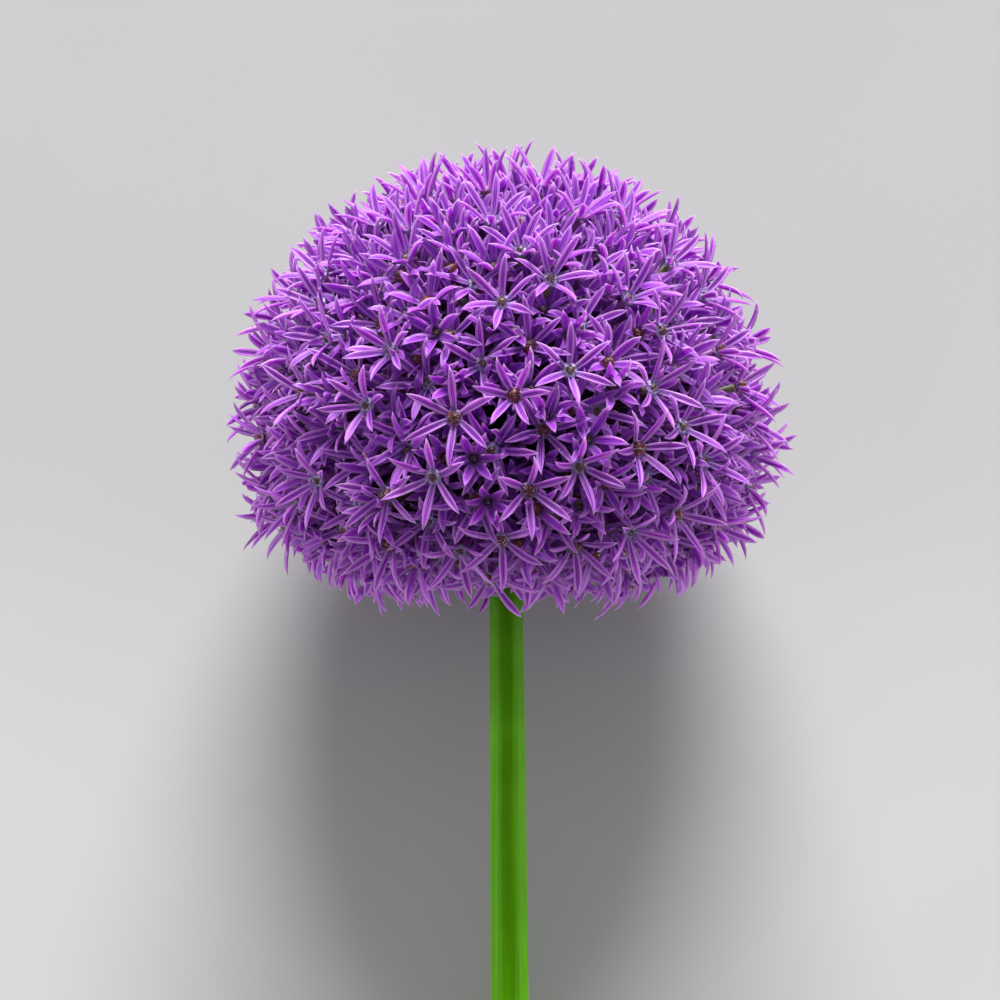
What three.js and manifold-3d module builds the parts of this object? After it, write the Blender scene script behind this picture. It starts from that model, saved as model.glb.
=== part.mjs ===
// An ornamental allium in full bloom, as picked: the flower head and the upper part of its stalk,
// lying on a flat surface. Millimetres, +Z up.
//
// The flower is worked out upright first: the origin in the middle of the receptacle, +Z along
// the stalk to the top of the head, -Y towards the viewer. Then it is tipped back about X until
// the head and the cut end of the stalk both touch the surface, and the head is pressed a little
// where it lies.

import * as THREE from 'three';
import { ConvexGeometry } from 'three/addons/geometries/ConvexGeometry.js';
import { mergeVertices } from 'three/addons/utils/BufferGeometryUtils.js';
import Module from 'manifold-3d';

const wasm = await Module();
wasm.setup();

// Flower head
const floretCount = 280;
const floretShell = 54.5; // receptacle to the hearts of the outermost florets
const layerDepths = [0, 1.5, 3, 4.5]; // how far a floret may stay back to find room
const lastPolar = 140; // degrees from the top, where the florets end round the stalk
const shoulderPolar = 112; // degrees, where the underside begins to draw in
const undersideDrawIn = 0.15; // share of the radius lost at the last florets
const goldenAngle = 180 * (3 - Math.sqrt(5)); // degrees from each floret to the next
const placeJitter = 0.8; // degrees

// Floret
const tepals = 6;
const tepalLength = 9;
const tepalLengthSpread = 0.08; // share, either way
const notchRadius = 1.9; // heart of the floret to the gap between two tepals
const tepalRise = 28; // degrees that the tepals lift off the floret's plane
const tepalDroop = 2; // the same for the last florets, which hang
const channelDepth = 0.25; // how far the heart lies below the tepals' edges
const keelDepth = 1.6; // the tepals' keels where they join the pedicel
const spinTries = 20; // ways to turn a floret between its neighbours
const spotShares = [0.4, 0.6, 0.8, 1]; // places along a tepal where its room is judged
const nearby = 2.3 * tepalLength; // hearts further apart don't touch

// Stalks
const pedicelSides = 3;
const pedicelTopRadius = 0.7;
const pedicelRootRadius = 0.45;
const receptacleRadius = 6.5;
const receptacleBaseRadius = 3.4;
const receptacleBase = -Math.sqrt(receptacleRadius ** 2 - receptacleBaseRadius ** 2);
const stemTopRadius = 3.65;
const stemMiddleRadius = 3.9;
const stemEndRadius = 4.2;
const stemLength = 150; // middle of the receptacle to the cut end
const stemSlimLength = 40; // the top stretch, which doesn't taper
const stemMiddle = 90;
const stemLean = 0.5; // degrees to the right, going down
const stemSides = 16;
const seat = 0.3; // gap between the stem and the receptacle

// Lying down
const pressedIn = 5; // how far the head gives way on the surface

const toRad = THREE.MathUtils.degToRad;
const halfStep = Math.PI / tepals; // a tepal to the gap beside it

// Height of the receptacle's middle, and the tilt that brings the cut end down to the surface.
const tipRadius = floretShell + tepalLength * Math.sin(toRad(tepalRise));
const restHeight = tipRadius - pressedIn;
const endReach = Math.hypot(stemLength, stemEndRadius);
const tilt = Math.asin(restHeight / endReach) - Math.atan(stemEndRadius / stemLength);
const upward = new THREE.Vector3(0, -Math.cos(tilt), Math.sin(tilt));
const heightOf = (point) => point.dot(upward) + restHeight;

// A seeded draw from 0 to 1, so that the flower head always comes out the same.
let seed = 20;
function draw() {
  seed = (seed * 16807) % 2147483647;
  return seed / 2147483647;
}
const drawAround = (spread) => (2 * draw() - 1) * spread;

function toManifold(geometry) {
  const bare = geometry.clone();
  bare.deleteAttribute('normal');
  bare.deleteAttribute('uv');
  const merged = mergeVertices(bare, 1e-4);
  return new wasm.Manifold(new wasm.Mesh({
    numProp: 3,
    vertProperties: merged.attributes.position.array,
    triVerts: new Uint32Array(merged.index.array),
  }));
}

function toGeometry(solid) {
  const mesh = solid.getMesh();
  const geometry = new THREE.BufferGeometry();
  geometry.setAttribute('position', new THREE.BufferAttribute(mesh.vertProperties, mesh.numProp));
  geometry.setIndex(new THREE.BufferAttribute(mesh.triVerts, 1));
  return geometry;
}

// Where each floret sits: a spiral of the golden angle, evenly spread from the top to lastPolar.
function spiralPlace(index) {
  const lastCosine = Math.cos(toRad(lastPolar));
  const cosine = 1 - (1 - lastCosine) * (index + 0.5) / floretCount;
  const polar = THREE.MathUtils.radToDeg(Math.acos(cosine)) + drawAround(placeJitter);
  const azimuth = index * goldenAngle + drawAround(placeJitter) / Math.sqrt(1 - cosine ** 2);
  const under = THREE.MathUtils.clamp((polar - shoulderPolar) / (lastPolar - shoulderPolar), 0, 1);
  const outward = new THREE.Vector3().setFromSphericalCoords(1, toRad(polar), toRad(azimuth));
  outward.set(outward.x, -outward.z, outward.y);
  return {
    root: outward,
    axis: outward.clone(),
    radius: floretShell * (1 - undersideDrawIn * under),
    rise: THREE.MathUtils.lerp(tepalRise, tepalDroop, under * under),
    lengths: Array.from({ length: tepals }, () => tepalLength * (1 + drawAround(tepalLengthSpread))),
    channel: channelDepth,
    depths: layerDepths,
  };
}

// Points round an axis through centre, given by radius, turn and height along the axis.
function roundAxis(centre, axis, spin) {
  const side = new THREE.Vector3(0, 0, 1).cross(axis).normalize().applyAxisAngle(axis, spin);
  const other = new THREE.Vector3().crossVectors(axis, side);
  return (radius, turn, height) => centre.clone()
    .addScaledVector(side, radius * Math.cos(turn))
    .addScaledVector(other, radius * Math.sin(turn))
    .addScaledVector(axis, height);
}

function tepalTips(floret) {
  const at = roundAxis(floret.heart, floret.axis, floret.spin);
  const rise = toRad(floret.rise);
  return floret.lengths.map((length, k) =>
    at(length * Math.cos(rise), 2 * k * halfStep, length * Math.sin(rise)));
}

function spots(floret) {
  return tepalTips(floret).flatMap((tip) =>
    spotShares.map((share) => floret.heart.clone().lerp(tip, share)));
}

function roomBetween(pointsA, pointsB) {
  let least = Infinity;
  for (const a of pointsA) {
    for (const b of pointsB) least = Math.min(least, a.distanceToSquared(b));
  }
  return Math.sqrt(least);
}

// Lifts a floret until its lowest tip lies on the surface.
function liftClear(floret) {
  const lowest = Math.min(...tepalTips(floret).map(heightOf));
  if (lowest < 0) floret.heart.addScaledVector(upward, -lowest);
}

// The floret under the head's middle lies flat on the surface, face down.
function pressFlat(place) {
  place.axis.copy(upward).negate();
  place.radius = restHeight;
  place.rise = 0;
  place.channel = 0;
  place.depths = [0];
}

// A floret in its place, held back by depth and turned by spin, with its room among the others.
function trial(place, depth, spin, placed) {
  const floret = { ...place, spin, heart: place.axis.clone().multiplyScalar(place.radius - depth) };
  liftClear(floret);
  floret.spots = spots(floret);
  const near = placed.filter((other) => other.heart.distanceTo(floret.heart) < nearby);
  floret.room = Math.min(nearby, ...near.map((other) => roomBetween(other.spots, floret.spots)));
  return floret;
}

// Each floret takes the depth and the turn that leave it the most room among those before it.
function placeFlorets() {
  const placed = [];
  const places = Array.from({ length: floretCount }, (_, index) => spiralPlace(index));
  pressFlat(places.reduce((a, b) => (a.axis.dot(upward) < b.axis.dot(upward) ? a : b)));
  const spins = Array.from({ length: spinTries }, (_, k) => 2 * halfStep * k / spinTries);
  for (const place of places) {
    const trials = place.depths.flatMap((depth) =>
      spins.map((spin) => trial(place, depth, spin, placed)));
    placed.push(trials.reduce((a, b) => (b.room > a.room ? b : a)));
  }
  return placed;
}

// The three corners of a pedicel: at its root they are a facet of the receptacle.
function pedicelRing(at, radius, height) {
  return Array.from({ length: pedicelSides }, (_, k) => at(radius, (4 * k + 2) * halfStep, height));
}

function rootRing(floret) {
  return pedicelRing(roundAxis(new THREE.Vector3(), floret.root, floret.spin),
    pedicelRootRadius, receptacleRadius);
}

// One floret on its pedicel: a six-pointed star, channelled outside and keeled inside, whose keels
// run together into a slender stalk.
function floretSolid(floret) {
  const at = roundAxis(floret.heart, floret.axis, floret.spin);
  const notchHeight = notchRadius * Math.tan(toRad(floret.rise));
  const rim = tepalTips(floret).flatMap((tip, k) =>
    [tip, at(notchRadius, (2 * k + 1) * halfStep, notchHeight)]);
  const points = [
    ...rim,
    at(0, 0, -floret.channel),
    ...pedicelRing(at, pedicelTopRadius, -keelDepth),
    ...rootRing(floret),
  ];
  const middle = rim.length;
  const neck = (k) => middle + 1 + k % pedicelSides;
  const root = (k) => neck(k) + pedicelSides;
  const faces = [root(0), root(2), root(1)];
  for (let j = 0; j < rim.length; j++) {
    const next = (j + 1) % rim.length;
    faces.push(middle, j, next, neck(Math.floor(j / 4)), next, j);
  }
  for (let k = 0; k < pedicelSides; k++) {
    faces.push(neck(k), neck(k + 1), (4 * k + 4) % rim.length);
    faces.push(root(k), root(k + 1), neck(k + 1), root(k), neck(k + 1), neck(k));
  }
  return new wasm.Manifold(new wasm.Mesh({
    numProp: 3,
    vertProperties: new Float32Array(points.flatMap((point) => point.toArray())),
    triVerts: new Uint32Array(faces),
  }));
}

// The receptacle: the knob at the top of the stalk, with a small facet for each pedicel's root.
function receptacleSolid(florets) {
  const points = florets.flatMap(rootRing);
  for (let k = 0; k < stemSides; k++) {
    const turn = k / stemSides * 2 * Math.PI;
    points.push(new THREE.Vector3(
      receptacleBaseRadius * Math.cos(turn),
      receptacleBaseRadius * Math.sin(turn),
      receptacleBase,
    ));
  }
  return toManifold(new ConvexGeometry(points));
}

function flowerHead() {
  const florets = placeFlorets();
  let head = receptacleSolid(florets);
  for (const floret of florets) head = head.add(floretSolid(floret));
  return toGeometry(head);
}

// The stalk, turned from a profile that thickens a little towards the cut end.
function stem() {
  const top = receptacleBase - seat;
  const profile = [
    [0, -stemLength],
    [stemEndRadius, -stemLength],
    [stemMiddleRadius, -stemMiddle],
    [stemTopRadius, -stemSlimLength],
    [stemTopRadius, top],
    [0, top],
  ].map(([radius, height]) => new THREE.Vector2(radius, height));
  return new THREE.LatheGeometry(profile, stemSides).rotateX(Math.PI / 2);
}

function part(name, geometry, material) {
  const mesh = new THREE.Mesh(geometry, new THREE.MeshStandardMaterial(material));
  mesh.name = name;
  return mesh;
}

const stemMesh = part('stem', stem(), { color: 0x6f9a2c, roughness: 0.5, metalness: 0 });
stemMesh.rotation.y = toRad(-stemLean);

const flower = new THREE.Group();
flower.add(stemMesh);
flower.add(part('flower_head', flowerHead(), { color: 0x9650be, roughness: 0.55, metalness: 0 }));
flower.rotation.x = tilt - Math.PI / 2;

// The origin goes to the surface, under the middle of the flower.
const group = new THREE.Group();
group.add(flower);
group.updateMatrixWorld(true);
const box = new THREE.Box3().setFromObject(group, true);
const middle = box.getCenter(new THREE.Vector3());
group.position.set(-middle.x, -middle.y, -box.min.z);

export default group;
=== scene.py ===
import math

import bpy
import numpy as np
from mathutils import Matrix, Vector


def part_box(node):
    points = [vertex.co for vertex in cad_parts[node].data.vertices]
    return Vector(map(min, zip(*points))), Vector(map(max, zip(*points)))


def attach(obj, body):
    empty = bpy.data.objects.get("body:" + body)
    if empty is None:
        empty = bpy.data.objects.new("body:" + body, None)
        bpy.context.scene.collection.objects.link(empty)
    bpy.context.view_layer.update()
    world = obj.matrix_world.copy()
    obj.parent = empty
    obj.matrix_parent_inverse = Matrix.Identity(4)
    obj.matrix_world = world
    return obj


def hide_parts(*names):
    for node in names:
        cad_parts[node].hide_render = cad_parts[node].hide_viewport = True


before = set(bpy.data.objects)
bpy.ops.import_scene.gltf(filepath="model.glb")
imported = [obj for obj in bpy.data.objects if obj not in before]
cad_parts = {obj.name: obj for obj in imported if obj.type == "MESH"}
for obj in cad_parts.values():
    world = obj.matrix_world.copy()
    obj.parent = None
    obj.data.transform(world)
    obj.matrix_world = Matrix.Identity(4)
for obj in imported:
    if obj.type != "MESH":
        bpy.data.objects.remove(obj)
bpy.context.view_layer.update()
print("allium: frame loaded")

# Head and stalk as in the solids: lengths in metres, angles in degrees
flower = {
    "floretCount": 280,
    "floretShell": 0.0545,  # receptacle to the hearts of the outermost florets
    "layerDepths": (0, 0.0015, 0.003, 0.0045),
    "lastPolar": 140,
    "shoulderPolar": 112,
    "undersideDrawIn": 0.15,
    "goldenAngle": 180 * (3 - math.sqrt(5)),
    "placeJitter": 0.8,
    "tepals": 6,
    "tepalLength": 0.009,
    "tepalLengthSpread": 0.08,
    "tepalRise": 28,
    "tepalDroop": 2,
    "spinTries": 20,
    "spotShares": (0.4, 0.6, 0.8, 1),
    "receptacleRadius": 0.0065,
    "stemEndRadius": 0.0042,
    "stemLength": 0.15,
    "pressedIn": 0.005,
    "nearby": 2.3,  # in tepal lengths, how far round a floret room is looked for
    "seed": 20,
}
nearby = flower["nearby"] * flower["tepalLength"]
tepalTurns = np.arange(flower["tepals"]) * 2 * math.pi / flower["tepals"]

# How the flower lies: the tilt brings the cut end down to the surface
tipRadius = flower["floretShell"] + flower["tepalLength"] * math.sin(math.radians(flower["tepalRise"]))
restHeight = tipRadius - flower["pressedIn"]
tilt = (math.asin(restHeight / math.hypot(flower["stemLength"], flower["stemEndRadius"]))
        - math.atan(flower["stemEndRadius"] / flower["stemLength"]))
toApex = Vector((0, math.cos(tilt), math.sin(tilt)))
toViewer = Vector((0, -math.sin(tilt), math.cos(tilt)))
toRight = Vector((1, 0, 0))
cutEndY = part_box("stem")[0].y
receptacle = Vector((0, cutEndY + flower["stemLength"] * math.cos(tilt)
                     + flower["stemEndRadius"] * math.sin(tilt), restHeight))
layDown = np.array(Matrix.Rotation(tilt - math.pi / 2, 3, "X"))  # upright to lying
upward = layDown.T @ np.array((0, 0, 1))  # the table's upward direction, seen by the upright flower

# Camera at the photograph's angle, which is straight on to the upright flower
view = {
    "distance": 0.7,
    "pixel": 0.0002147,  # metres at the receptacle
    "receptacleX": 507,
    "receptacleY": 425,
    "imageSize": 1000,
    "sensor": 36,
    "nearest": 0.01,
}


def linked(name, data):
    made = bpy.data.objects.new(name, data)
    bpy.context.scene.collection.objects.link(made)
    return made


def makeCamera():
    middle = view["imageSize"] / 2
    data = bpy.data.cameras.new("camera")
    data.sensor_width = view["sensor"]
    data.lens = view["sensor"] * view["distance"] / (view["imageSize"] * view["pixel"])
    data.clip_start = view["nearest"]
    camera = linked("camera", data)
    place = (receptacle + toViewer * view["distance"]
             - toRight * (view["receptacleX"] - middle) * view["pixel"]
             + toApex * (view["receptacleY"] - middle) * view["pixel"])
    turn = Matrix((toRight, toApex, toViewer)).transposed().to_4x4()
    camera.matrix_world = Matrix.Translation(place) @ turn
    bpy.context.scene.camera = camera


makeCamera()
print("allium: camera set")


# Where the florets sit

def solidDraws(seed, factor=16807, modulus=2147483647):
    # The draws of the solids, from -1 to 1
    while True:
        seed = seed * factor % modulus
        yield 2 * (seed / modulus) - 1


def direction(polar, azimuth):
    # Out of the upright flower's receptacle, in radians
    return np.array((math.sin(polar) * math.sin(azimuth), -math.sin(polar) * math.cos(azimuth),
                     math.cos(polar)))


def spiralCosine(index, count, lastPolar):
    lastCosine = math.cos(math.radians(lastPolar))
    return 1 - (1 - lastCosine) * (index + 0.5) / count


def underside(polar):
    # 0 down to the shoulder, 1 at the last florets below the head; polar in degrees
    share = (polar - flower["shoulderPolar"]) / (flower["lastPolar"] - flower["shoulderPolar"])
    return min(max(share, 0), 1)


def shellRadius(under):
    return flower["floretShell"] * (1 - flower["undersideDrawIn"] * under)


def spiralPlace(index, draws):
    cosine = spiralCosine(index, flower["floretCount"], flower["lastPolar"])
    jitter = flower["placeJitter"]
    polar = math.degrees(math.acos(cosine)) + next(draws) * jitter
    azimuth = math.radians(index * flower["goldenAngle"]
                           + next(draws) * jitter / math.sqrt(1 - cosine ** 2))
    under = underside(polar)
    root = direction(math.radians(polar), azimuth)
    rise = flower["tepalRise"] + (flower["tepalDroop"] - flower["tepalRise"]) * under ** 2
    spread = flower["tepalLengthSpread"]
    return {
        "root": root,
        "axis": root,
        "radius": shellRadius(under),
        "rise": math.radians(rise),
        "lengths": np.array([flower["tepalLength"] * (1 + next(draws) * spread)
                             for _ in range(flower["tepals"])]),
        "depths": flower["layerDepths"],
    }


def floretSide(axis, spin):
    side = np.cross((0, 0, 1), axis)
    side /= np.linalg.norm(side)
    return side * math.cos(spin) + np.cross(axis, side) * math.sin(spin)


def tepalTips(floret):
    side = floretSide(floret["axis"], floret["spin"])
    other = np.cross(floret["axis"], side)
    reach = floret["lengths"] * math.cos(floret["rise"])
    height = floret["lengths"] * math.sin(floret["rise"])
    return (floret["heart"] + np.outer(reach * np.cos(tepalTurns), side)
            + np.outer(reach * np.sin(tepalTurns), other) + np.outer(height, floret["axis"]))


def roomRound(own, hearts, spots, heart):
    # From a floret's own spots to the nearest spot of the florets near its heart
    near = np.linalg.norm(hearts - heart, axis=1) < nearby
    if not near.any():
        return nearby
    return math.sqrt(((spots[near].reshape(-1, 1, 3) - own[None]) ** 2).sum(2).min())


def tryFloret(place, depth, spin, hearts, spots):
    floret = dict(place, spin=spin, heart=place["axis"] * (place["radius"] - depth))
    lowest = (tepalTips(floret) @ upward).min() + restHeight
    if lowest < 0:
        floret["heart"] = floret["heart"] - upward * lowest
    shares = np.array(flower["spotShares"])[None, :, None]
    tips = tepalTips(floret)[:, None]
    floret["spots"] = (floret["heart"] + (tips - floret["heart"]) * shares).reshape(-1, 3)
    floret["room"] = min(nearby, roomRound(floret["spots"], hearts, spots, floret["heart"]))
    return floret


def placeFlorets():
    draws = solidDraws(flower["seed"])
    places = [spiralPlace(k, draws) for k in range(flower["floretCount"])]
    resting = min(places, key=lambda place: place["axis"] @ upward)
    resting.update(axis=-upward, radius=restHeight, rise=0, depths=(0,))
    tries = flower["spinTries"]
    turns = [2 * math.pi / flower["tepals"] * k / tries for k in range(tries)]
    hearts = np.zeros((0, 3))
    spots = np.zeros((0, flower["tepals"] * len(flower["spotShares"]), 3))
    placed = []
    for place in places:
        trials = [tryFloret(place, depth, spin, hearts, spots)
                  for depth in place["depths"] for spin in turns]
        best = max(trials, key=lambda trial: trial["room"])
        placed.append(best)
        hearts = np.vstack((hearts, best["heart"]))
        spots = np.concatenate((spots, best["spots"][None]))
    return placed


# How the solids' florets open in the photograph
habit = {
    "tepalLength": 0.0106,  # longer than the solids', whose florets stand further out
    "heartRadius": 0.0009,  # from the middle of the floret to the foot of its tepals
    "sunk": 0.0018,
    "cup": 15,  # more rise than the solids' tepals, in degrees
    "cupSpread": 11,
    "nod": 9,  # how far a floret's face leans off its pedicel
    "youngPolar": 55,  # florets nearer the apex than this are younger and less open
    "youngFalloff": 0.6,
    "youngCup": 17,
    "youngSunk": 0.0016,
    "oldShare": 0.3,  # florets whose ovary has swollen and reddened
    "lowOldShare": 0.7,  # the same among the lower florets, which opened first
    "lowCosine": -0.3,
    "oldAges": (0.6, 1),
    "freshAges": (0, 0.35),
    "lineShares": (0.05, 0.4, 0.7, 1),  # of a tepal's length, where room is looked for
    "stamenHeights": (0.001, 0.0025),
    "seed": 5,
}


def nodding(axis, side, most, draws):
    # Both turned by up to most degrees about a random line across the axis
    hinge = Matrix.Rotation(draws.uniform(0, 2 * math.pi), 3, Vector(axis)) @ Vector(side)
    turn = Matrix.Rotation(math.radians(most) * math.sqrt(draws.random()), 3, hinge)
    return np.array(turn @ Vector(axis)), np.array(turn @ Vector(side))


def openFloret(floret, draws):
    polar = math.degrees(math.acos(floret["root"][2]))
    young = max(1 - polar / habit["youngPolar"], 0) ** habit["youngFalloff"]
    side = floretSide(floret["axis"], floret["spin"])
    axis, side = nodding(floret["axis"], side, habit["nod"], draws)
    cup = habit["cup"] + habit["youngCup"] * young + draws.uniform(-1, 1) * habit["cupSpread"]
    return {
        "root": floret["root"],
        "axis": axis,
        "side": side,
        "heart": floret["heart"] - axis * (habit["sunk"] + habit["youngSunk"] * young),
        "rise": floret["rise"] + math.radians(cup),
        "reach": habit["tepalLength"] * floret["lengths"].mean() / flower["tepalLength"],
    }


def floretSpots(floret):
    # Points along the middle of each tepal and among the stamens, to find where there is room
    other = np.cross(floret["axis"], floret["side"])
    outward = np.outer(np.cos(tepalTurns), floret["side"]) + np.outer(np.sin(tepalTurns), other)
    shares = np.array(habit["lineShares"])[None, :, None] * floret["reach"]
    radial = habit["heartRadius"] + shares * math.cos(floret["rise"])
    line = outward[:, None] * radial + floret["axis"] * shares * math.sin(floret["rise"])
    stamens = np.outer(habit["stamenHeights"], floret["axis"])
    return floret["heart"] + np.vstack((line.reshape(-1, 3), stamens))


# Florets between and below these, less open, which fill the head as the photograph shows
deeper = {
    "count": 540,
    "lastPolar": 138,
    "depth": (0.0035, 0.011),
    "rise": (38, 66),
    "riseLostBelow": 0.5,  # the share of their rise that florets under the head lack
    "reach": (0.0086, 0.0100),
    "jitter": 3.5,
    "nod": 16,
    "trials": 24,
    "clearance": 0.001,  # over the table
    "seed": 77,
}
innermost = dict(deeper, count=340, lastPolar=148, depth=(0.009, 0.015), rise=(45, 70), trials=10,
                 seed=78)


def tryDeeper(layer, index, draws):
    cosine = spiralCosine(index, layer["count"], layer["lastPolar"])
    polar = math.acos(cosine) + math.radians(draws.uniform(-1, 1) * layer["jitter"])
    azimuth = math.radians(-index * flower["goldenAngle"] + draws.uniform(-1, 1) * layer["jitter"])
    root = direction(polar, azimuth)
    under = underside(math.degrees(polar))
    side = floretSide(root, draws.uniform(0, 2 * math.pi / flower["tepals"]))
    axis, side = nodding(root, side, layer["nod"], draws)
    floret = {
        "root": root,
        "axis": axis,
        "side": side,
        "heart": root * (shellRadius(under) - draws.uniform(*layer["depth"])),
        "rise": math.radians(draws.uniform(*layer["rise"]) * (1 - layer["riseLostBelow"] * under)),
        "reach": draws.uniform(*layer["reach"]),
    }
    lowest = (floretSpots(floret) @ upward).min() + restHeight - layer["clearance"]
    floret["heart"] = floret["heart"] - upward * min(lowest, 0)
    return floret


def placeLayer(layer, opened):
    draws = np.random.default_rng(layer["seed"])
    hearts = np.array([floret["heart"] for floret in opened])
    spots = np.array([floretSpots(floret) for floret in opened])
    placed = []
    for index in range(layer["count"]):
        trials = [tryDeeper(layer, index, draws) for _ in range(layer["trials"])]
        own = [floretSpots(trial) for trial in trials]
        rooms = [roomRound(each, hearts, spots, trial["heart"]) for each, trial in zip(own, trials)]
        best = int(np.argmax(rooms))
        placed.append(trials[best])
        hearts = np.vstack((hearts, trials[best]["heart"]))
        spots = np.concatenate((spots, own[best][None]))
    return placed


bloomDraws = np.random.default_rng(habit["seed"])
openFlorets = [openFloret(floret, bloomDraws) for floret in placeFlorets()]
deeperFlorets = placeLayer(deeper, openFlorets)
deeperFlorets += placeLayer(innermost, openFlorets + deeperFlorets)
print("allium:", len(openFlorets), "and", len(deeperFlorets), "florets placed")


def keepNumbers(mesh, numbers):
    for label, values in numbers.items():
        attribute = mesh.attributes.new(label, "FLOAT", "POINT")
        attribute.data.foreach_set("value", np.array(values, np.float32))


def floretPoints(name, placed, draws):
    # Bare points, one for each floret, which the node trees read
    count = len(placed)
    mesh = bpy.data.meshes.new(name)
    hearts = np.array([floret["heart"] for floret in placed])
    mesh.from_pydata((hearts @ layDown.T + np.array(receptacle)).tolist(), [], [])
    for label in ("axis", "side", "root"):
        attribute = mesh.attributes.new(label, "FLOAT_VECTOR", "POINT")
        vectors = np.array([floret[label] for floret in placed]) @ layDown.T
        attribute.data.foreach_set("vector", vectors.astype(np.float32).ravel())
    low = np.array([floret["root"][2] < habit["lowCosine"] for floret in placed])
    old = draws.random(count) < np.where(low, habit["lowOldShare"], habit["oldShare"])
    keepNumbers(mesh, {
        "rise": [floret["rise"] for floret in placed],
        "reach": [floret["reach"] for floret in placed],
        "age": np.where(old, draws.uniform(*habit["oldAges"], count),
                        draws.uniform(*habit["freshAges"], count)),
        "tone": draws.random(count),
    })
    return mesh


outerPoints = floretPoints("outerPoints", openFlorets, bloomDraws)
deeperPoints = floretPoints("deeperPoints", deeperFlorets, bloomDraws)


# Node helpers

class NodeMaker:
    # What node trees and materials share
    step = 200

    def add(self, kind, plugs=None, **settings):
        node = self.tree.nodes.new(kind)
        node.location = (self.step * len(self.tree.nodes), 0)
        for key, value in settings.items():
            setattr(node, key, value)
        for key, value in (plugs or {}).items():
            found = [s for s in node.inputs if s.enabled and key in (s.identifier, s.name)]
            self.plug(found[0], value)
        return node

    def get(self, kind, plugs=None, **settings):
        return self.add(kind, plugs, **settings).outputs[0]

    def plug(self, socket, value):
        if isinstance(value, bpy.types.NodeSocket):
            self.tree.links.new(value, socket)
        else:
            socket.default_value = value

    def calc(self, operation, *values, kind="ShaderNodeMath"):
        node = self.add(kind, operation=operation)
        for socket, value in zip(node.inputs, values):
            self.plug(socket, value)
        return node.outputs[0]

    def times(self, first, second):
        return self.calc("MULTIPLY", first, second)

    def plus(self, first, second):
        return self.calc("ADD", first, second)

    def minus(self, first, second):
        return self.calc("SUBTRACT", first, second)


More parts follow.
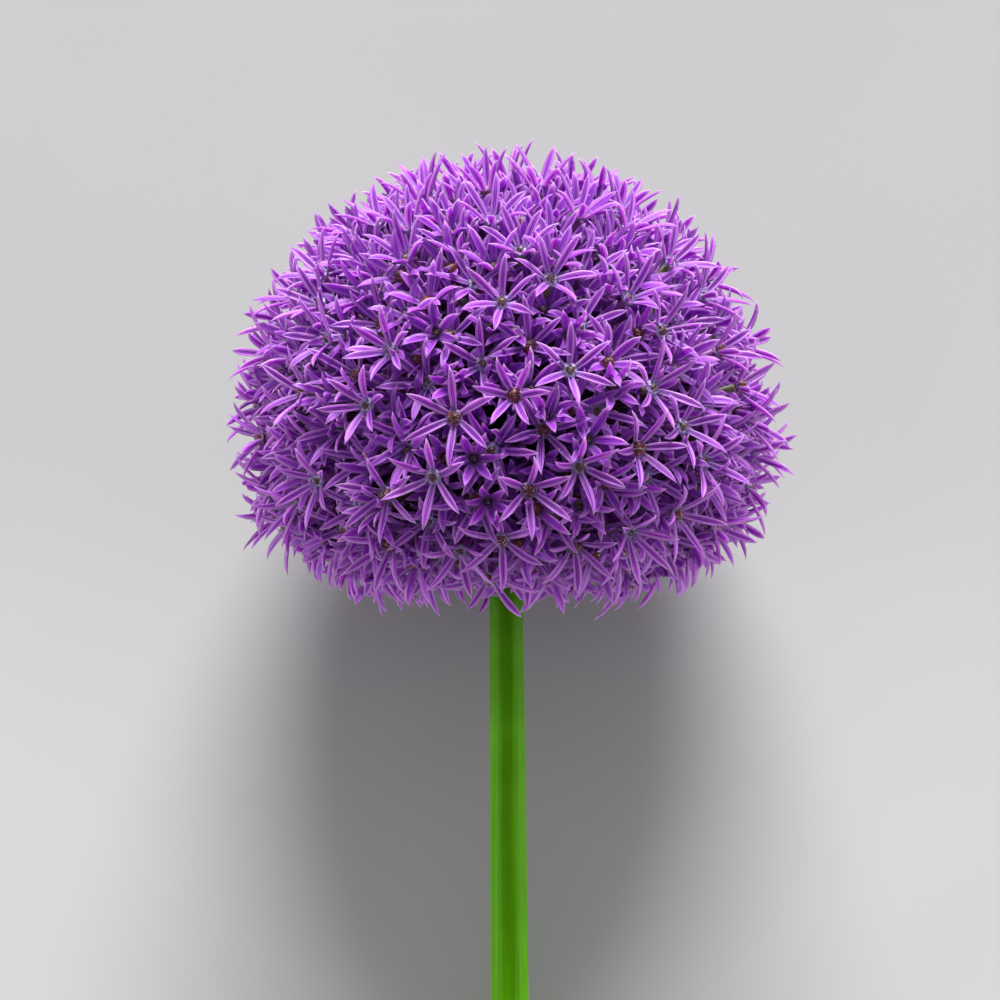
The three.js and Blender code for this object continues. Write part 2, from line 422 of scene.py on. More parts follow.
class TreeMaker(NodeMaker):
    # Builds one Geometry Nodes tree; its inputs are named after the entries of a dictionary
    # that hold their values, as "Base Radius" after baseRadius
    def __init__(self, name, values, labels):
        self.tree = bpy.data.node_groups.new(name, "GeometryNodeTree")
        face = self.tree.interface
        for way in ("INPUT", "OUTPUT"):
            face.new_socket("Geometry", in_out=way, socket_type="NodeSocketGeometry")
        for label in labels:
            value = values[label[0].lower() + label[1:].replace(" ", "")]
            kind = "NodeSocketInt" if isinstance(value, int) else "NodeSocketFloat"
            face.new_socket(label, in_out="INPUT", socket_type=kind).default_value = value
        face.new_socket("Material", in_out="INPUT", socket_type="NodeSocketMaterial")
        self.given = self.add("NodeGroupInput").outputs
        self.randoms = 0

    def vector(self, operation, *values):
        return self.calc(operation, *values, kind="ShaderNodeVectorMath")

    def scaled(self, vector, factor):
        return self.get("ShaderNodeVectorMath", {"Vector": vector, "Scale": factor}, operation="SCALE")

    def total(self, *vectors):
        result = vectors[0]
        for vector in vectors[1:]:
            result = self.vector("ADD", result, vector)
        return result

    def joined(self, x, y, z=0.0):
        return self.get("ShaderNodeCombineXYZ", {"X": x, "Y": y, "Z": z})

    def position(self):
        return self.get("GeometryNodeInputPosition")

    def coordinates(self):
        return self.add("ShaderNodeSeparateXYZ", {"Vector": self.position()}).outputs

    def along(self):
        return self.add("GeometryNodeSplineParameter").outputs["Factor"]

    def read(self, name, kind="FLOAT"):
        return self.add("GeometryNodeInputNamedAttribute", {"Name": name},
                        data_type=kind).outputs["Attribute"]

    def aim(self, name):
        return self.read(name, "FLOAT_VECTOR")

    def store(self, geometry, name, value, kind="FLOAT"):
        return self.get("GeometryNodeStoreNamedAttribute",
                        {"Geometry": geometry, "Name": name, "Value": value},
                        data_type=kind, domain="POINT")

    def random(self, low, high):
        self.randoms += 1
        seed = self.plus(self.given["Seed"], float(self.randoms))
        node = self.add("FunctionNodeRandomValue", {"Min": low, "Max": high, "Seed": seed},
                        data_type="FLOAT")
        return next(s for s in node.outputs if s.enabled)

    def eitherWay(self, most):
        return self.random(self.times(most, -1.0), most)

    def curve(self, factor, points):
        node = self.add("ShaderNodeFloatCurve", {"Value": factor})
        line = node.mapping.curves[0]
        for _ in points[2:]:
            line.points.new(0.5, 0.5)
        for point, place in zip(line.points, points):
            point.location = place
        node.mapping.update()
        return node.outputs[0]

    def copies(self, amount):
        # Copies of every point, their hearts kept, and each copy's turn about the axis
        points = self.store(self.given["Geometry"], "heart", self.position(), "FLOAT_VECTOR")
        node = self.add("GeometryNodeDuplicateElements", {"Geometry": points, "Amount": amount},
                        domain="POINT")
        turn = self.times(node.outputs["Duplicate Index"], self.calc("DIVIDE", 2 * math.pi, amount))
        return node.outputs["Geometry"], turn

    def facing(self):
        # The floret's axis, its side and the direction across both
        axis = self.aim("axis")
        side = self.aim("side")
        return axis, side, self.vector("CROSS_PRODUCT", axis, side)

    def outward(self, side, other):
        turn = self.read("turn")
        return self.total(self.scaled(side, self.calc("COSINE", turn)),
                          self.scaled(other, self.calc("SINE", turn)))

    def lines(self, points, numbers):
        # A line from 0 to 1 at each point, in steps, to be bent by the numbers kept on it
        for label, value in numbers.items():
            points = self.store(points, label, value)
        line = self.get("GeometryNodeCurvePrimitiveLine", {"End": (1, 0, 0)})
        line = self.get("GeometryNodeResampleCurve", {"Curve": line, "Count": self.given["Steps"]})
        line = self.get("GeometryNodeInstanceOnPoints", {"Points": points, "Instance": line})
        return self.get("GeometryNodeRealizeInstances", {"Geometry": line})

    def moved(self, geometry, place):
        return self.get("GeometryNodeSetPosition", {"Geometry": geometry, "Position": place})

    def circle(self):
        return self.get("GeometryNodeCurvePrimitiveCircle",
                        {"Resolution": self.given["Sides"], "Radius": 1.0})

    def swept(self, curves, section, outline, size):
        # The tree's result: the section along every curve, as wide as the outline says, in sizes
        curves = self.store(curves, "along", self.along())
        width = self.times(self.curve(self.read("along"), outline), size)
        return self.finish(self.get("GeometryNodeCurveToMesh", {
            "Curve": curves, "Profile Curve": section, "Scale": width, "Fill Caps": True}))

    def ball(self):
        return self.get("GeometryNodeMeshUVSphere", {
            "Segments": self.given["Segments"], "Rings": self.given["Rings"], "Radius": 1.0})

    def onFlorets(self, shape, scale):
        # The tree's result: the shape on every floret, lifted, its +Z along the floret's axis
        axis = self.aim("axis")
        turn = self.get("FunctionNodeAxesToRotation",
                        {"Primary Axis": axis, "Secondary Axis": self.aim("side")},
                        primary_axis="Z", secondary_axis="X")
        lift = self.scaled(axis, self.given["Lift"])
        raised = self.get("GeometryNodeSetPosition",
                          {"Geometry": self.given["Geometry"], "Offset": lift})
        return self.finish(self.get("GeometryNodeInstanceOnPoints", {
            "Points": raised, "Instance": shape, "Rotation": turn, "Scale": scale}))

    def finish(self, geometry):
        geometry = self.get("GeometryNodeSetShadeSmooth", {"Geometry": geometry})
        geometry = self.get("GeometryNodeRealizeInstances", {"Geometry": geometry})
        geometry = self.get("GeometryNodeSetMaterial",
                            {"Geometry": geometry, "Material": self.given["Material"]})
        self.add("NodeGroupOutput", {"Geometry": geometry})
        return self.tree


class Finish(NodeMaker):
    # Builds one procedural material round a Principled shader
    step = -200

    def __init__(self, name, settings):
        self.material = bpy.data.materials.new(name)
        self.material.use_nodes = True
        self.tree = self.material.node_tree
        self.shader = self.tree.nodes["Principled BSDF"]
        for key, value in settings.items():
            self.shader.inputs[key].default_value = value

    def read(self, name):
        return self.add("ShaderNodeAttribute", attribute_name=name).outputs["Fac"]

    def mix(self, factor, first, second):
        node = self.add("ShaderNodeMix", data_type="RGBA")
        for index, value in ((0, factor), (6, first), (7, second)):
            self.plug(node.inputs[index], value)
        return node.outputs[2]

    def range(self, value, low, high, most=1.0):
        # 0 at low and most at high, clamped; low may be the greater
        return self.get("ShaderNodeMapRange", {"Value": value, "From Min": low, "From Max": high,
                                               "To Max": most})

    def noise(self, scale, detail=3.0, stretch=(1, 1, 1), turn=(0, 0, 0)):
        place = self.add("ShaderNodeTexCoord").outputs["Object"]
        place = self.get("ShaderNodeMapping", {"Vector": place, "Rotation": turn, "Scale": stretch},
                         vector_type="TEXTURE")
        return self.get("ShaderNodeTexNoise", {"Vector": place, "Scale": scale, "Detail": detail})

    def stained(self, colour, stain, scale, most):
        return self.mix(self.times(self.noise(scale), most), colour, stain)

    def complete(self, colour, height=None, strength=0.0, distance=0.0001):
        self.plug(self.shader.inputs["Base Color"], colour)
        if height is not None:
            bump = self.get("ShaderNodeBump", {"Height": height, "Strength": strength,
                                               "Distance": distance})
            self.plug(self.shader.inputs["Normal"], bump)
        return self.material

    def grained(self, colour, scale, strength, distance=0.0001):
        return self.complete(colour, self.noise(scale), strength, distance)


def srgb(*colour):
    # A colour in the numbers of a picture, 0 to 255, as the shader's linear ones
    shares = [value / 255 for value in colour]
    return (*(s / 12.92 if s <= 0.04045 else ((s + 0.055) / 1.055) ** 2.4 for s in shares), 1)


surfaceSoftness = 0.0015  # the height over the table in which the florets are squeezed


def squeezeOnTable(mesh):
    # What would reach below the table is pressed together just above it
    place = np.zeros(len(mesh.vertices) * 3, np.float32)
    mesh.vertices.foreach_get("co", place)
    place = place.reshape(-1, 3)
    low = place[:, 2] < surfaceSoftness
    place[low, 2] = surfaceSoftness * np.exp(place[low, 2] / surfaceSoftness - 1)
    mesh.vertices.foreach_set("co", place.ravel())
    mesh.update()


def dress(piece, material, node):
    piece.data.materials.clear()
    piece.data.materials.append(material)
    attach(piece, "root")
    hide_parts(node)


def grow(name, tree, points, values, kept):
    # Runs a tree on the points and leaves the result as a plain mesh object at the origin, with
    # the attributes to be kept
    source = linked(name + "Source", points)
    modifier = source.modifiers.new("nodes", "NODES")
    modifier.node_group = tree
    for item in tree.interface.items_tree:
        if item.item_type == "SOCKET" and item.in_out == "INPUT" and item.name in values:
            modifier[item.identifier] = values[item.name]
    shown = source.evaluated_get(bpy.context.evaluated_depsgraph_get())
    mesh = bpy.data.meshes.new_from_object(shown)
    mesh.name = name
    source.modifiers.remove(modifier)
    bpy.data.objects.remove(source)
    for attribute in [a.name for a in mesh.attributes if a.name not in kept]:
        if not mesh.attributes[attribute].is_required and not attribute.startswith("."):
            mesh.attributes.remove(mesh.attributes[attribute])
    squeezeOnTable(mesh)
    dress(linked(name, mesh), values["Material"], "flower_head")
    print("allium:", name, "with", len(mesh.polygons), "faces")


# A piece's dictionary says which inputs of its node tree are different in a layer
layers = {"outer": outerPoints, "deeper": deeperPoints}


# Tepals; a band of colour is (none here, full here, its strength), across in half widths from
# the middle or along in lengths from the base
tepal = {
    "tepalsPerWhorl": flower["tepals"] // 2,
    "firstTurn": 0.0,
    "lift": 0.0,
    "heartRadius": habit["heartRadius"],
    "width": 0.0017,
    "outline": ((0, 0.56), (0.15, 0.74), (0.42, 0.96), (0.64, 0.98), (0.87, 0.58), (1, 0.05)),
    "channel": 0.72,  # how deep the upper side is, in half widths
    "channelPower": 1.2,
    "thickness": 0.16,
    "bodyHeight": 0.6,  # of the section's two sides, in thicknesses
    "bodySink": 0.4,
    "arch": 0.06,
    "curl": 0.0,
    "curlSpread": 0.1,
    "hook": 0.12,
    "hookPower": 5.0,
    "twist": 0.9,
    "sway": 0.1,
    "turnSpread": 0.06,
    "reachShares": (0.93, 1.06),
    "steps": 8,
    "sides": 8,
    "seed": 19,
    "outer": {},
    "deeper": {"Width": 0.002, "Steps": 6, "Sides": 6},
    "highlightAndVeins": {"outer": 1.0, "deeper": 0.5},  # how strong the painted highlight on margins and midrib and the dark veins are; half on the deeper florets, which lie in shade
    "seeds": {"outer": (19, 119), "deeper": (17, 117)},  # for either whorl
    "whorls": ({}, {"First Turn": math.pi / 3, "Lift": 0.00025}),
    "surface": {"Roughness": 0.45, "Specular IOR Level": 0.35, "Sheen Weight": 0.2,
                "Sheen Roughness": 0.4, "Sheen Tint": srgb(240, 180, 250),
                "Subsurface Weight": 0.5, "Subsurface Scale": 0.001,
                "Subsurface Radius": (1, 0.45, 1)},
    "body": srgb(150, 50, 202),
    "pale": srgb(182, 76, 226),
    "deep": srgb(116, 32, 170),
    # edge: pale pink, painted highlight where light catches the raised margins and midrib, and the
    # colour the tips pale towards
    "edge": srgb(218, 142, 242),
    "vein": srgb(64, 20, 104),
    "base": srgb(150, 132, 190),
    "shadeMost": 0.35,
    # Where the painted highlight falls: along the margins and the midrib
    "marginInside": (0.3, 0.55),
    "marginOutside": (1.15, 0.8),
    "midrib": (0.12, 0.02, 0.6),
    "edgeMost": 0.62,
    "paleTip": (0.75, 1.25),
    "veinPlace": 0.2,
    "veinWidth": (0.15, 0.06),
    "veinLength": (0.95, 0.5, 0.9),
    "baseBand": (0.3, 0.02, 0.7),
    "streakStretch": (5.0, 1.0, 60.0),  # across, along, and from one tepal to the next
    "streakScale": 1.7,
    "streakMost": 0.35,
    "streakRelief": 0.5,
}


def tepalTree():
    maker = TreeMaker("tepals", tepal, (
        "Tepals Per Whorl", "First Turn", "Lift", "Heart Radius", "Width", "Channel", "Thickness",
        "Arch", "Curl", "Curl Spread", "Hook", "Twist", "Sway", "Steps", "Sides", "Seed"))
    given = maker.given
    points, turn = maker.copies(given["Tepals Per Whorl"])
    turn = maker.plus(turn, given["First Turn"])
    blades = maker.lines(points, {
        "turn": maker.plus(turn, maker.eitherWay(tepal["turnSpread"])),
        "reach": maker.times(maker.read("reach"), maker.random(*tepal["reachShares"])),
        "curl": maker.plus(given["Curl"], maker.eitherWay(given["Curl Spread"])),
        "hook": maker.random(0.0, given["Hook"]),
        "twist": maker.eitherWay(given["Twist"]),
        "sway": maker.eitherWay(given["Sway"]),
        "shade": maker.random(0.0, 1.0),
    })

    along = maker.along()
    square = maker.calc("POWER", along, 2.0)
    axis, side, other = maker.facing()
    outward = maker.outward(side, other)
    across = maker.vector("CROSS_PRODUCT", axis, outward)
    length = maker.read("reach")
    rise = maker.read("rise")
    radial = maker.times(maker.times(length, maker.calc("COSINE", rise)), along)
    radial = maker.plus(radial, given["Heart Radius"])
    slope = maker.times(maker.plus(maker.calc("SINE", rise), given["Arch"]), along)
    bend = maker.times(maker.plus(maker.read("curl"), given["Arch"]), square)
    hook = maker.times(maker.read("hook"), maker.calc("POWER", along, tepal["hookPower"]))
    height = maker.minus(maker.minus(slope, bend), hook)
    height = maker.plus(maker.times(height, length), given["Lift"])
    drift = maker.times(maker.times(maker.read("sway"), square), length)
    blades = maker.moved(blades, maker.total(
        maker.aim("heart"), maker.scaled(outward, radial), maker.scaled(axis, height),
        maker.scaled(across, drift)))

    tangent = maker.get("GeometryNodeInputTangent")
    lean = maker.add("ShaderNodeVectorMath", {"Vector": axis, "Vector_001": tangent},
                     operation="DOT_PRODUCT").outputs["Value"]
    normal = maker.vector("NORMALIZE", maker.vector("SUBTRACT", axis, maker.scaled(tangent, lean)))
    blades = maker.get("GeometryNodeSetCurveNormal", {"Curve": blades, "Normal": normal}, mode="FREE")
    tilted = maker.times(maker.read("twist"), square)
    blades = maker.get("GeometryNodeSetCurveTilt", {"Curve": blades, "Tilt": tilted})

    x, y, _ = maker.coordinates()
    crest = maker.times(maker.calc("POWER", maker.calc("ABSOLUTE", x), tepal["channelPower"]),
                        given["Channel"])
    body = maker.minus(maker.times(y, tepal["bodyHeight"]), tepal["bodySink"])
    bent = maker.joined(maker.plus(crest, maker.times(body, given["Thickness"])),
                        maker.times(x, -1.0))
    section = maker.moved(maker.store(maker.circle(), "across", x), bent)
    return maker.swept(blades, section, tepal["outline"], maker.times(given["Width"], 0.5))


def tepalFinish(name, highlightAndVeins):
    finish = Finish(name, tepal["surface"])
    along = finish.read("along")
    across = finish.calc("ABSOLUTE", finish.read("across"))
    body = finish.mix(finish.read("tone"), tepal["body"], tepal["pale"])
    shade = finish.times(finish.read("shade"), tepal["shadeMost"])
    body = finish.mix(shade, body, tepal["deep"])
    # Painted highlight: the pale edge colour laid along the raised margins and the midrib where light
    # catches them; the tips pale towards the same colour
    margin = finish.calc("MINIMUM", finish.range(across, *tepal["marginInside"]),
                         finish.range(across, *tepal["marginOutside"]))
    ridge = finish.calc("MAXIMUM", margin, finish.range(across, *tepal["midrib"]))
    ridge = finish.calc("MAXIMUM", finish.times(ridge, tepal["edgeMost"] * highlightAndVeins),
                        finish.range(along, *tepal["paleTip"]))
    body = finish.mix(ridge, body, tepal["edge"])
    ways = (finish.read("across"), along, finish.read("shade"))
    lengthwise = finish.get("ShaderNodeCombineXYZ", {
        label: finish.times(way, most)
        for label, way, most in zip("XYZ", ways, tepal["streakStretch"])})
    streak = finish.get("ShaderNodeTexNoise", {
        "Vector": lengthwise, "Scale": tepal["streakScale"], "Detail": 3.0})
    body = finish.mix(finish.times(streak, tepal["streakMost"]), body, tepal["deep"])
    fromVein = finish.calc("ABSOLUTE", finish.minus(across, tepal["veinPlace"]))
    vein = finish.times(finish.range(fromVein, *tepal["veinWidth"]),
                        finish.range(along, *tepal["veinLength"]))
    body = finish.mix(finish.times(vein, highlightAndVeins), body, tepal["vein"])
    body = finish.mix(finish.range(along, *tepal["baseBand"]), body, tepal["base"])
    return finish.complete(body, streak, tepal["streakRelief"])


tepalNodes = tepalTree()
# The deeper florets lie in shade, so their copy of the tepal material has half the painted highlight
# and fainter veins
for layer, points in layers.items():
    material = tepalFinish(layer + "Tepal", tepal["highlightAndVeins"][layer])
    for whorl, values in enumerate(tepal["whorls"]):
        seed = tepal["seeds"][layer][whorl]
        values = dict(values, **tepal[layer], Material=material, Seed=seed)
        grow(layer + "Tepals" + str(whorl + 1), tepalNodes, points, values,
             ("along", "across", "tone", "shade"))


# Pedicels
pedicel = {
    "radius": 0.00096,  # at the floret, where it is widest
    "swelling": ((0, 0.45), (0.1, 0.5), (0.85, 0.55), (0.94, 0.7), (1, 1)),
    "receptacleRadius": flower["receptacleRadius"],
    "sink": 0.0008,  # how far the root goes into the receptacle
    "cup": 0.0006,  # from the heart of the floret down to the pedicel's end
    "bow": 0.0009,
    "steps": 8,
    "sides": 6,
    "seed": 23,
    "outer": {},
    "deeper": {"Seed": 73},
    "surface": {"Roughness": 0.4},
    "green": srgb(128, 144, 56),
    "dark": srgb(80, 52, 70),
    "flush": srgb(150, 58, 160),
    "olive": srgb(110, 112, 62),
    "oliveTones": (0.7, 0.8),
    "flushBand": (0.2, 0.45),
    "stain": (260, 0.6),  # noise scale and strength, here and below
    "grain": (1800, 0.2),
}


def pedicelTree():
    maker = TreeMaker("pedicels", pedicel, (
        "Radius", "Receptacle Radius", "Sink", "Cup", "Bow", "Steps", "Sides", "Seed"))
    given = maker.given
    points = maker.store(given["Geometry"], "heart", maker.position(), "FLOAT_VECTOR")
    stalks = maker.lines(points, {"bowSide": maker.eitherWay(given["Bow"]),
                                  "bowOther": maker.eitherWay(given["Bow"])})
    along = maker.along()
    axis, side, other = maker.facing()
    depth = maker.minus(given["Receptacle Radius"], given["Sink"])
    start = maker.total(tuple(receptacle), maker.scaled(maker.aim("root"), depth))
    end = maker.vector("SUBTRACT", maker.aim("heart"), maker.scaled(axis, given["Cup"]))
    swing = maker.calc("SINE", maker.times(along, math.pi))
    stalks = maker.moved(stalks, maker.total(
        start, maker.scaled(maker.vector("SUBTRACT", end, start), along),
        maker.scaled(side, maker.times(maker.read("bowSide"), swing)),
        maker.scaled(other, maker.times(maker.read("bowOther"), swing))))
    return maker.swept(stalks, maker.circle(), pedicel["swelling"], given["Radius"])


def pedicelFinish():
    finish = Finish("pedicel", pedicel["surface"])
    olive = finish.range(finish.read("tone"), *pedicel["oliveTones"])
    top = finish.mix(olive, pedicel["flush"], pedicel["olive"])
    flush = finish.range(finish.read("along"), *pedicel["flushBand"])
    colour = finish.mix(flush, pedicel["green"], top)
    colour = finish.stained(colour, pedicel["dark"], *pedicel["stain"])
    return finish.grained(colour, *pedicel["grain"])


pedicelNodes = pedicelTree()
pedicelMaterial = pedicelFinish()
for layer, points in layers.items():
    grow(layer + "Pedicels", pedicelNodes, points,
         dict(pedicel[layer], Material=pedicelMaterial), ("along", "tone"))


# Ovaries, three-lobed
ovary = {
    "freshRadius": 0.0007,
    "oldRadius": 0.00165,
    "sizeShares": (0.92, 1.08),
    "lobes": 3.0,
    "lobe": 0.13,
    "flatness": 0.85,
    "lift": 0.001,
    "segments": 12,
    "rings": 5,
    "seed": 31,
    "outer": {},
    "deeper": {"Segments": 9, "Rings": 4},
    "surface": {"Roughness": 0.4},
    "fresh": srgb(104, 88, 70),
    "freshTop": srgb(72, 46, 46),
    "old": srgb(132, 50, 42),
    "oldTop": srgb(84, 32, 32),
    "fleck": srgb(190, 172, 176),
    "topBand": (0.45, 0.95),
    "oldAge": (0.35, 0.6),
    "stain": (1800, 0.4),
    "fleckScale": 3200,
    "fleckBand": (0.6, 0.68),
    "grain": (3000, 0.4),
}


def ovaryTree():
    maker = TreeMaker("ovaries", ovary, (
        "Fresh Radius", "Old Radius", "Lobe", "Flatness", "Lift", "Segments", "Rings", "Seed"))
    given = maker.given
    x, y, z = maker.coordinates()
    lobes = maker.calc("COSINE", maker.times(maker.calc("ARCTAN2", y, x), ovary["lobes"]))
    swell = maker.plus(maker.times(lobes, given["Lobe"]), 1.0)
    shape = maker.joined(maker.times(x, swell), maker.times(y, swell),
                         maker.times(z, given["Flatness"]))
    ball = maker.moved(maker.store(maker.ball(), "height", z), shape)
    grown = maker.minus(given["Old Radius"], given["Fresh Radius"])
    size = maker.plus(maker.times(maker.read("age"), grown), given["Fresh Radius"])
    return maker.onFlorets(ball, maker.times(size, maker.random(*ovary["sizeShares"])))


def ovaryFinish():
    finish = Finish("ovary", ovary["surface"])
    top = finish.range(finish.read("height"), *ovary["topBand"])
    fresh = finish.mix(top, ovary["fresh"], ovary["freshTop"])
    old = finish.mix(top, ovary["old"], ovary["oldTop"])
    colour = finish.mix(finish.range(finish.read("age"), *ovary["oldAge"]), fresh, old)
    colour = finish.stained(colour, ovary["oldTop"], *ovary["stain"])
    flecks = finish.range(finish.noise(ovary["fleckScale"], 1.0), *ovary["fleckBand"])
    return finish.grained(finish.mix(flecks, colour, ovary["fleck"]), *ovary["grain"])


ovaryNodes = ovaryTree()
ovaryMaterial = ovaryFinish()
for layer, points in layers.items():
    grow(layer + "Ovaries", ovaryNodes, points,
         dict(ovary[layer], Material=ovaryMaterial), ("height", "age"))


# The pale saucer under each ovary, which the tepals and filaments grow from
saucer = {
    "radius": 0.00175,
    "height": 0.0004,
    "lift": 0.0006,
    "segments": 12,
    "rings": 4,
    "surface": {"Roughness": 0.5},
    "face": srgb(192, 180, 218),
    "rim": srgb(168, 146, 210),
    "ray": srgb(96, 84, 120),
    "rimBand": (0.7, 1),
    "rayBand": (0.3, 1, 0.7),
    "stain": (2400, 0.3),
    "grain": (3000, 0.3),
}


def saucerTree():
    maker = TreeMaker("saucers", saucer, ("Radius", "Height", "Lift", "Segments", "Rings"))
    given = maker.given
    x, y, _ = maker.coordinates()
    rim = maker.calc("SQRT", maker.plus(maker.times(x, x), maker.times(y, y)))
    ball = maker.ball()
    for label, value in (("rim", rim), ("faceX", x), ("faceY", y)):
        ball = maker.store(ball, label, value)
    return maker.onFlorets(ball, maker.joined(given["Radius"], given["Radius"], given["Height"]))


def saucerFinish():
    finish = Finish("saucer", saucer["surface"])
    rim = finish.range(finish.read("rim"), *saucer["rimBand"])
    colour = finish.mix(rim, saucer["face"], saucer["rim"])
    around = finish.calc("ARCTAN2", finish.read("faceY"), finish.read("faceX"))
    ray = finish.calc("COSINE", finish.times(around, float(flower["tepals"])))
    colour = finish.mix(finish.range(ray, *saucer["rayBand"]), colour, saucer["ray"])
    colour = finish.stained(colour, saucer["ray"], *saucer["stain"])
    return finish.grained(colour, *saucer["grain"])


grow("saucers", saucerTree(), outerPoints, {"Material": saucerFinish()},
     ("rim", "faceX", "faceY"))


# Filaments, short and pale, round the ovary
filament = {
    "filamentsPerFloret": flower["tepals"],
    "length": 0.0019,
    "lengthShares": (0.75, 1.15),
    "baseRadius": 0.00034,
    "taper": ((0, 1), (0.2, 0.75), (0.45, 0.36), (1, 0.1)),
    "ring": 0.00135,
    "foot": 0.0006,
    "lean": 0.16,
    "leanSpread": 0.25,
    "turnSpread": 0.15,
    "steps": 5,
    "sides": 5,
    "seed": 41,
    "surface": {"Roughness": 0.5},
    "pale": srgb(204, 184, 226),
    "low": srgb(164, 152, 204),
    "paleBand": (0, 0.6),
    "stain": (2600, 0.3),
}


def filamentTree():
    maker = TreeMaker("filaments", filament, (
        "Filaments Per Floret", "Length", "Base Radius", "Ring", "Foot", "Lean", "Lean Spread",
        "Steps", "Sides", "Seed"))
    given = maker.given
    points, turn = maker.copies(given["Filaments Per Floret"])
    hairs = maker.lines(points, {
        "turn": maker.plus(turn, maker.eitherWay(filament["turnSpread"])),
        "reach": maker.times(given["Length"], maker.random(*filament["lengthShares"])),
        "lean": maker.plus(given["Lean"], maker.eitherWay(given["Lean Spread"])),
    })
    axis, side, other = maker.facing()
    rising = maker.times(maker.read("reach"), maker.along())
    radial = maker.minus(given["Ring"], maker.times(rising, maker.read("lean")))
    hairs = maker.moved(hairs, maker.total(
        maker.aim("heart"), maker.scaled(maker.outward(side, other), radial),
        maker.scaled(axis, maker.plus(rising, given["Foot"]))))
    return maker.swept(hairs, maker.circle(), filament["taper"], given["Base Radius"])


def filamentFinish():
    finish = Finish("filament", filament["surface"])
    pale = finish.range(finish.read("along"), *filament["paleBand"])
    colour = finish.mix(pale, filament["low"], filament["pale"])
    return finish.complete(finish.stained(colour, filament["low"], *filament["stain"]))


grow("filaments", filamentTree(), outerPoints, {"Material": filamentFinish()},
     ("along",))


# Receptacle: the swollen top of the stalk, which the pedicels leave on all sides
crown = {
    "radius": 0.0064,
    "lowest": -0.0055,
    "highest": 0.98,  # in radii
    "leastRadius": 0.0004,
    "sides": 40,
    "rings": 20,
    "waves": ((0.02, 13, 900),),
    "surface": {"Roughness": 0.6},
    "green": srgb(96, 122, 40),
    "dark": srgb(54, 66, 24),
    "stain": (700, 1.0),
    "grain": (900, 0.6, 0.0004),
}


def latheMesh(name, rings, settings):
    # rings: (distance along the upright axis, radius, shift to the right); both ends are closed.
    # The waves run round it: (height in radii, number, skew in radians a metre)
    sides = settings["sides"]
    turn = np.arange(sides) * 2 * math.pi / sides
    points = []
    for height, radius, shift in rings:
        wave = sum(most * np.sin(number * turn + skew * height)
                   for most, number, skew in settings["waves"])
        reach = radius * (1 + wave)
        points += np.column_stack((shift + reach * np.cos(turn), reach * np.sin(turn),
                                   np.full(sides, height))).tolist()
    faces = []
    for start in range(0, (len(rings) - 1) * sides, sides):
        for k in range(sides):
            after = start + (k + 1) % sides
            faces.append((start + k, after, after + sides, start + k + sides))
    faces.append(tuple(range(sides - 1, -1, -1)))
    faces.append(tuple(range((len(rings) - 1) * sides, len(rings) * sides)))
    mesh = bpy.data.meshes.new(name)
    mesh.from_pydata((np.array(points) @ layDown.T + np.array(receptacle)).tolist(), [], faces)
    for face in mesh.polygons[:-2]:
        face.use_smooth = True
    return linked(name, mesh)


def makeCrown():
    rings = []
    highest = crown["radius"] * crown["highest"]
    for k in range(crown["rings"]):
        height = crown["lowest"] + (highest - crown["lowest"]) * k / (crown["rings"] - 1)
        radius = math.sqrt(max(crown["radius"] ** 2 - height ** 2, 0))
        rings.append((height, max(radius, crown["leastRadius"]), 0))
    return latheMesh("crown", rings, crown)


def crownFinish():
    finish = Finish("crown", crown["surface"])
    colour = finish.stained(crown["green"], crown["dark"], *crown["stain"])
    return finish.grained(colour, *crown["grain"])


dress(makeCrown(), crownFinish(), "flower_head")


# Stem
stem = {
    "topRadius": 0.00365,
    "middleRadius": 0.0039,
    "slimLength": 0.04,
    "middle": 0.09,
    "lean": 0.5,  # degrees
    "offset": -0.0005,
    "top": 0.003,  # how far above the receptacle's middle it begins
    "cutShare": 0.97,  # the cut face's radius, with the edge rounded over the next length
    "cutRounding": 0.0002,
    "sides": 48,
    "rings": 90,
    "waves": ((0.006, 9, 0), (0.004, 17, 40)),
    "surface": {"Roughness": 0.5, "Specular IOR Level": 0.06, "Sheen Weight": 1.0,
                "Sheen Roughness": 0.22, "Sheen Tint": (0.8, 1, 0.4, 1)},
    # Painted shadow of the head: the stem darkens from the cut end (low) toward the head (high),
    # darkest over the stretch just under it (shade); shade is also the colour of the darker streaks
    "low": srgb(90, 168, 0),
    "high": srgb(80, 150, 0),
    "shade": srgb(62, 112, 0),
    "bloom": srgb(140, 220, 60),
    "cut": srgb(176, 200, 128),
    "highBand": (0, 0.55),
    "shadeBand": (0.55, 0.8),
    "streakNoise": (1500, 3.0, (1, 70, 1), (tilt, 0, 0)),
    "streakBand": (0.35, 0.7, 0.6),
    "streakRelief": 0.25,
    "blotchNoise": (60, 4.0),
    "blotchBand": (0.5, 0.8, 0.15),
    "speckNoise": (1500, 2.0),
    "speckBand": (0.66, 0.74, 0.2),
}


def makeStem():
    length = flower["stemLength"]
    stops = (0, stem["slimLength"], stem["middle"], length)
    radii = (stem["topRadius"], stem["topRadius"], stem["middleRadius"], flower["stemEndRadius"])
    lean = math.tan(math.radians(stem["lean"]))
    rings = []
    for k in range(stem["rings"]):
        distance = length - (length + stem["top"]) * k / (stem["rings"] - 1)
        below = max(distance, 0)
        rings.append((-distance, float(np.interp(below, stops, radii)), below * lean + stem["offset"]))
    height, radius, shift = rings[0]
    rings[0] = (height + stem["cutRounding"], radius, shift)
    rings.insert(0, (height, radius * stem["cutShare"], shift))
    piece = latheMesh("stemSkin", rings, stem)
    along = np.repeat([ring[0] for ring in rings], stem["sides"]) / length + 1
    keepNumbers(piece.data, {"along": along, "cut": np.arange(len(along)) < stem["sides"]})
    return piece


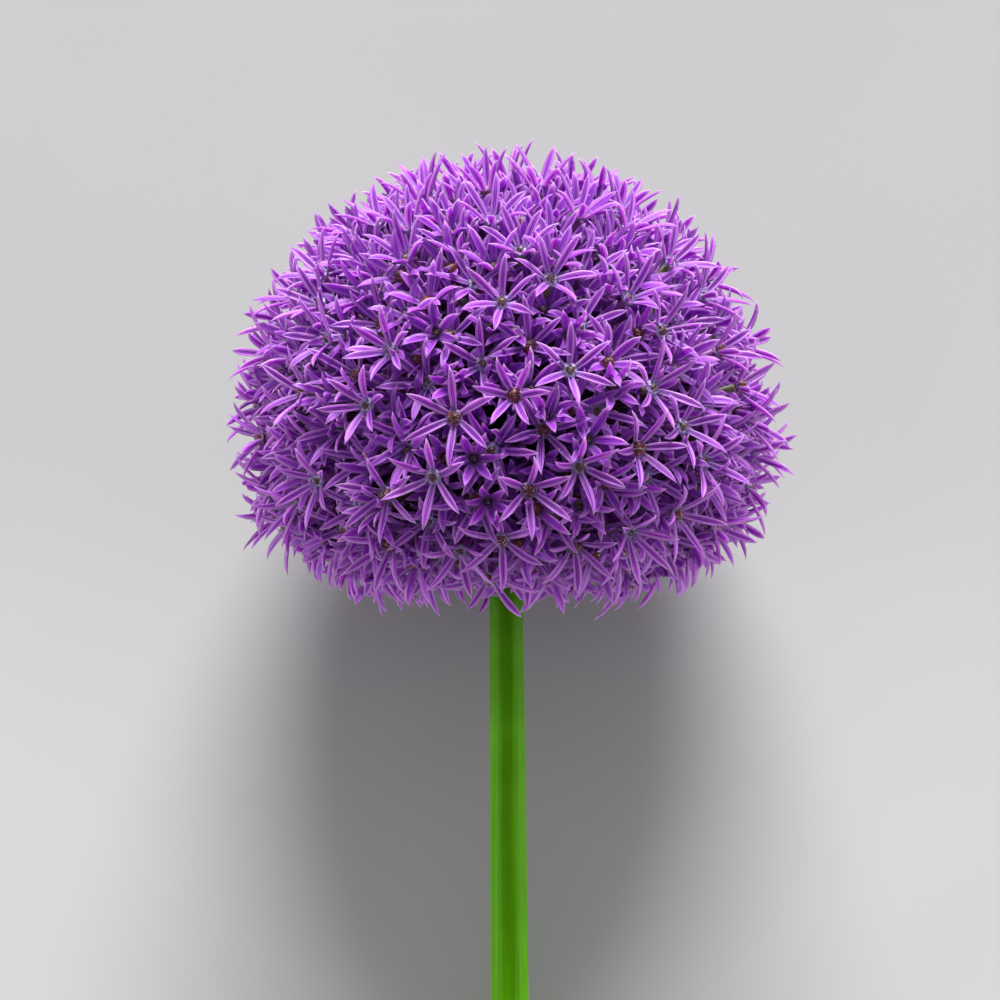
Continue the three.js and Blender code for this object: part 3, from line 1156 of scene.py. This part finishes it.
def stemFinish():
    finish = Finish("stem", stem["surface"])
    along = finish.read("along")
    # Painted shadow of the head, deepening toward it
    colour = finish.mix(finish.range(along, *stem["highBand"]), stem["low"], stem["high"])
    colour = finish.mix(finish.range(along, *stem["shadeBand"]), colour, stem["shade"])
    # Darker lengthwise streaks, in the colour of the painted shadow
    streaks = finish.noise(*stem["streakNoise"])
    colour = finish.mix(finish.range(streaks, *stem["streakBand"]), colour, stem["shade"])
    for mark in ("blotch", "speck"):
        marks = finish.range(finish.noise(*stem[mark + "Noise"]), *stem[mark + "Band"])
        colour = finish.mix(marks, colour, stem["bloom"])
    colour = finish.mix(finish.read("cut"), colour, stem["cut"])
    return finish.complete(colour, streaks, stem["streakRelief"])


dress(makeStem(), stemFinish(), "stem")
print("allium: stem and crown made")


# Table and light; directions are to the right, to the apex and to the viewer
studio = {
    "floorSize": 20.0,
    "floorSurface": {"Roughness": 0.9, "Specular IOR Level": 0.1},
    "floor": (0.42, 0.42, 0.415, 1),
    "floorMottle": (0.38, 0.38, 0.38, 1),
    "mottle": (6, 1.0),
    "sunStrength": 6.9,
    "sunSpread": 34,  # degrees, wide enough for soft shadows
    "sunFrom": (0.08, 1.5, 0.35),
    "stripPower": 0.07,
    "stripSize": (0.16, 0.06),
    "stripSpread": 42,
    "stripPlace": (0.42, -0.12, 0.06),  # right or left
    "skyColour": (1, 1, 1, 1),
    "sky": 0.38,
}


def makeFloor():
    size = studio["floorSize"] / 2
    mesh = bpy.data.meshes.new("floor")
    corners = [(-size, -size, 0), (size, -size, 0), (size, size, 0), (-size, size, 0)]
    mesh.from_pydata(corners, [], [(0, 1, 2, 3)])
    finish = Finish("floor", studio["floorSurface"])
    colour = finish.stained(studio["floor"], studio["floorMottle"], *studio["mottle"])
    mesh.materials.append(finish.complete(colour))
    linked("floor", mesh)


def makeLight(name, kind, place, target, energy):
    data = bpy.data.lights.new(name, kind)
    data.energy = energy
    light = linked(name, data)
    inward = (target - place).normalized()
    along = (toApex - inward * toApex.dot(inward)).normalized()
    turn = Matrix((along, -inward.cross(along), -inward)).transposed().to_4x4()
    light.matrix_world = Matrix.Translation(place) @ turn
    light.visible_camera = False
    return data


def makeStudio():
    makeFloor()
    right, apex, viewer = studio["sunFrom"]
    place = receptacle + toRight * right + toApex * apex + toViewer * viewer
    sun = makeLight("sun", "SUN", place, receptacle, studio["sunStrength"])
    sun.angle = math.radians(studio["sunSpread"])
    right, apex, viewer = studio["stripPlace"]
    target = receptacle + toApex * apex
    for name, way in (("stripLeft", -1), ("stripRight", 1)):
        place = target + toRight * way * right + toViewer * viewer
        strip = makeLight(name, "AREA", place, target, studio["stripPower"])
        strip.shape = "RECTANGLE"
        strip.size, strip.size_y = studio["stripSize"]
        strip.spread = math.radians(studio["stripSpread"])
    world = bpy.data.worlds.new("studio")
    world.use_nodes = True
    background = world.node_tree.nodes["Background"]
    background.inputs["Color"].default_value = studio["skyColour"]
    background.inputs["Strength"].default_value = studio["sky"]
    bpy.context.scene.world = world
    bpy.context.scene.view_settings.view_transform = "Standard"


makeStudio()
print("allium: table and light set")
